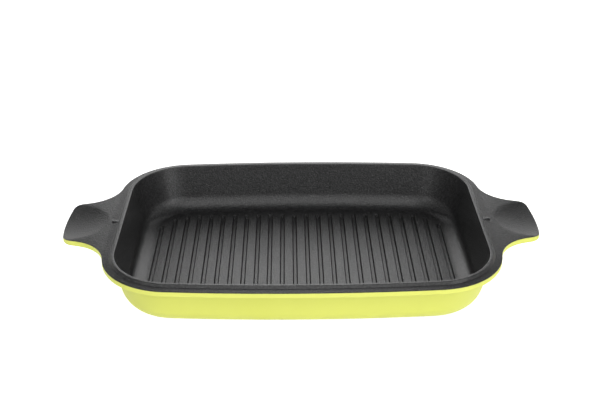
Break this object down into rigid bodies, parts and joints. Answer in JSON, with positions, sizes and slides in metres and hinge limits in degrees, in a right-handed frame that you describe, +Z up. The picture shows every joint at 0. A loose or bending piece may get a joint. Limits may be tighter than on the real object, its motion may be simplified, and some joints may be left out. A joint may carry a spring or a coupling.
{
  "type": "roasting pan",
  "caption": "Shallow rectangular cast roasting pan with round corners, a grooved floor, a bead round its opening and a flat grip at each end, dark inside and lime outside.",
  "frame": {"origin": "middle of the flat base, on the surface that the pan stands on", "axes": "+X along the pan, from one grip to the other, +Y across it along the grooves, +Z up out of the opening"},
  "size_m": [0.4364, 0.2566, 0.0479],
  "materials": {
    "cast_body": "fine-turned cast aluminium, bare only on the base",
    "nonstick_lining": "satin dark grey non-stick coat with a fine mineral speckle",
    "outer_enamel": "smooth half-gloss lime enamel"
  },
  "bodies": {
    "root": {"cast_body": "cast_body", "nonstick_lining": "nonstick_lining", "outer_enamel": "outer_enamel"}
  },
  "joints": []
}
